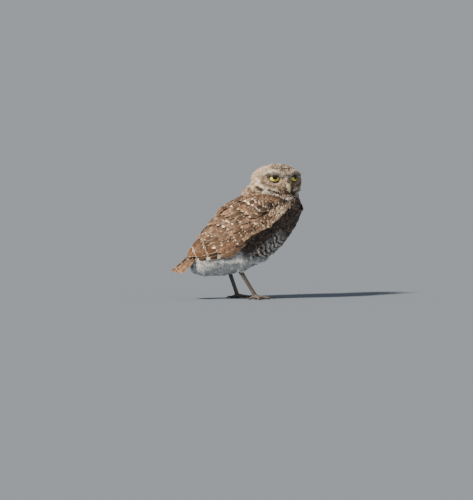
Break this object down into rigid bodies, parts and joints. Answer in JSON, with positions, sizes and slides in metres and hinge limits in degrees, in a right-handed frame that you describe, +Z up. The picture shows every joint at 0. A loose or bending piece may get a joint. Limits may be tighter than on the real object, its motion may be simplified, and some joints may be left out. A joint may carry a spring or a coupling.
{
  "type": "burrowing owl",
  "caption": "Life-size still model of a burrowing owl standing on two long legs, wings folded, head turned to its right.",
  "frame": {"origin": "on the floor under the middle of the whole bird, level with its soles", "axes": "+X the way the body heads, +Y its left side, +Z up"},
  "size_m": [0.1898, 0.0888, 0.1895],
  "materials": {
    "head_feathers": "soft feather, brown with pale spots and a whitish brow",
    "body_feathers": "soft feather, brown bars on white below, spotted brown above",
    "wing_feathers": "feather vane, warm brown with whitish spots and bars",
    "tail_feathers": "feather vane, rufous brown with buff bars and a cream tip",
    "leg_feathers": "short white down",
    "leg_skin": "scaled skin, grey-brown",
    "claw_horn": "dark horn, half gloss",
    "bill_horn": "pale yellow-grey horn, half gloss",
    "eye_gloss": "wet gloss, yellow iris and black pupil"
  },
  "bodies": {
    "root": {"head": "head_feathers", "neck": "head_feathers", "torso": "body_feathers", "wing_right": "wing_feathers", "wing_left": "wing_feathers", "tail": "tail_feathers", "thigh_right": "leg_feathers", "thigh_left": "leg_feathers", "tarsus_right": "leg_skin", "tarsus_left": "leg_skin", "foot_right": "leg_skin", "foot_left": "leg_skin", "claw_right_1": "claw_horn", "claw_right_2": "claw_horn", "claw_right_3": "claw_horn", "claw_right_4": "claw_horn", "claw_left_1": "claw_horn", "claw_left_2": "claw_horn", "claw_left_3": "claw_horn", "claw_left_4": "claw_horn", "bill_upper": "bill_horn", "bill_lower": "bill_horn", "eye_right": "eye_gloss", "eye_left": "eye_gloss"}
  },
  "joints": []
}
